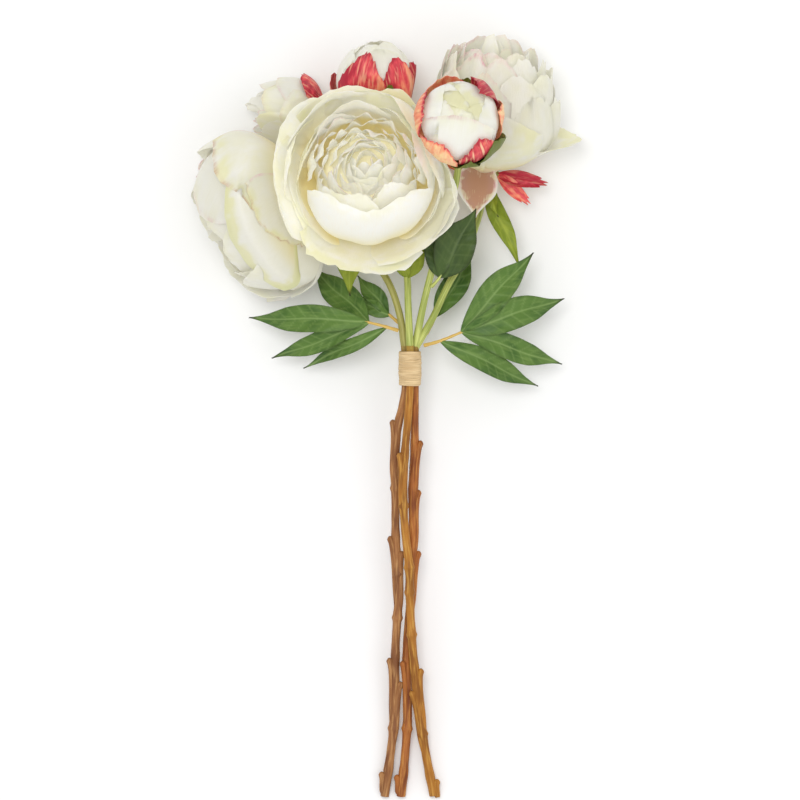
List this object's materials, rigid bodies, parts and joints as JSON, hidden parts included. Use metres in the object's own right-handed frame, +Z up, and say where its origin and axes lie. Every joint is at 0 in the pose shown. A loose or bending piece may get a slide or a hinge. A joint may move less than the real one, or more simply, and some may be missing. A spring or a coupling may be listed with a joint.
{
  "type": "bunch of peonies",
  "caption": "Tied bunch of cream peonies: full blooms and buds with red guard petals on knobbly woody stems bound with raffia, with dark leaves, laid down",
  "frame": {"origin": "centre of the bunch's footprint, on the surface it lies on", "axes": "+Z up from the surface, +Y from the cut stem ends towards the flower heads, +X to the right as seen from above"},
  "size_m": [0.2494, 0.507, 0.1463],
  "materials": {
    "petal": "soft satin cream petals",
    "guard_petal": "matte red and orange",
    "leaf": "soft satin dark green",
    "olive_wood": "matte bark",
    "red_wood": "matte bark",
    "green_wood": "matte bark",
    "raffia": "matte dry fibre"
  },
  "bodies": {
    "root": {"stem_left": "olive_wood", "stem_middle": "red_wood", "stem_right": "green_wood", "raffia_tie": "raffia", "bloom_main": "petal", "bloom_left": "petal", "bloom_right": "petal", "bloom_back_left": "petal", "bud_top": "petal", "bud_round": "petal", "calyx_bloom_right": "guard_petal", "calyx_back_left": "guard_petal", "calyx_bud_top": "guard_petal", "calyx_bud_round": "guard_petal", "leaf_left": "leaf", "leaf_right": "leaf", "leaf_centre": "leaf", "leaf_behind_right": "leaf", "leaf_behind_left": "leaf"}
  },
  "joints": []
}
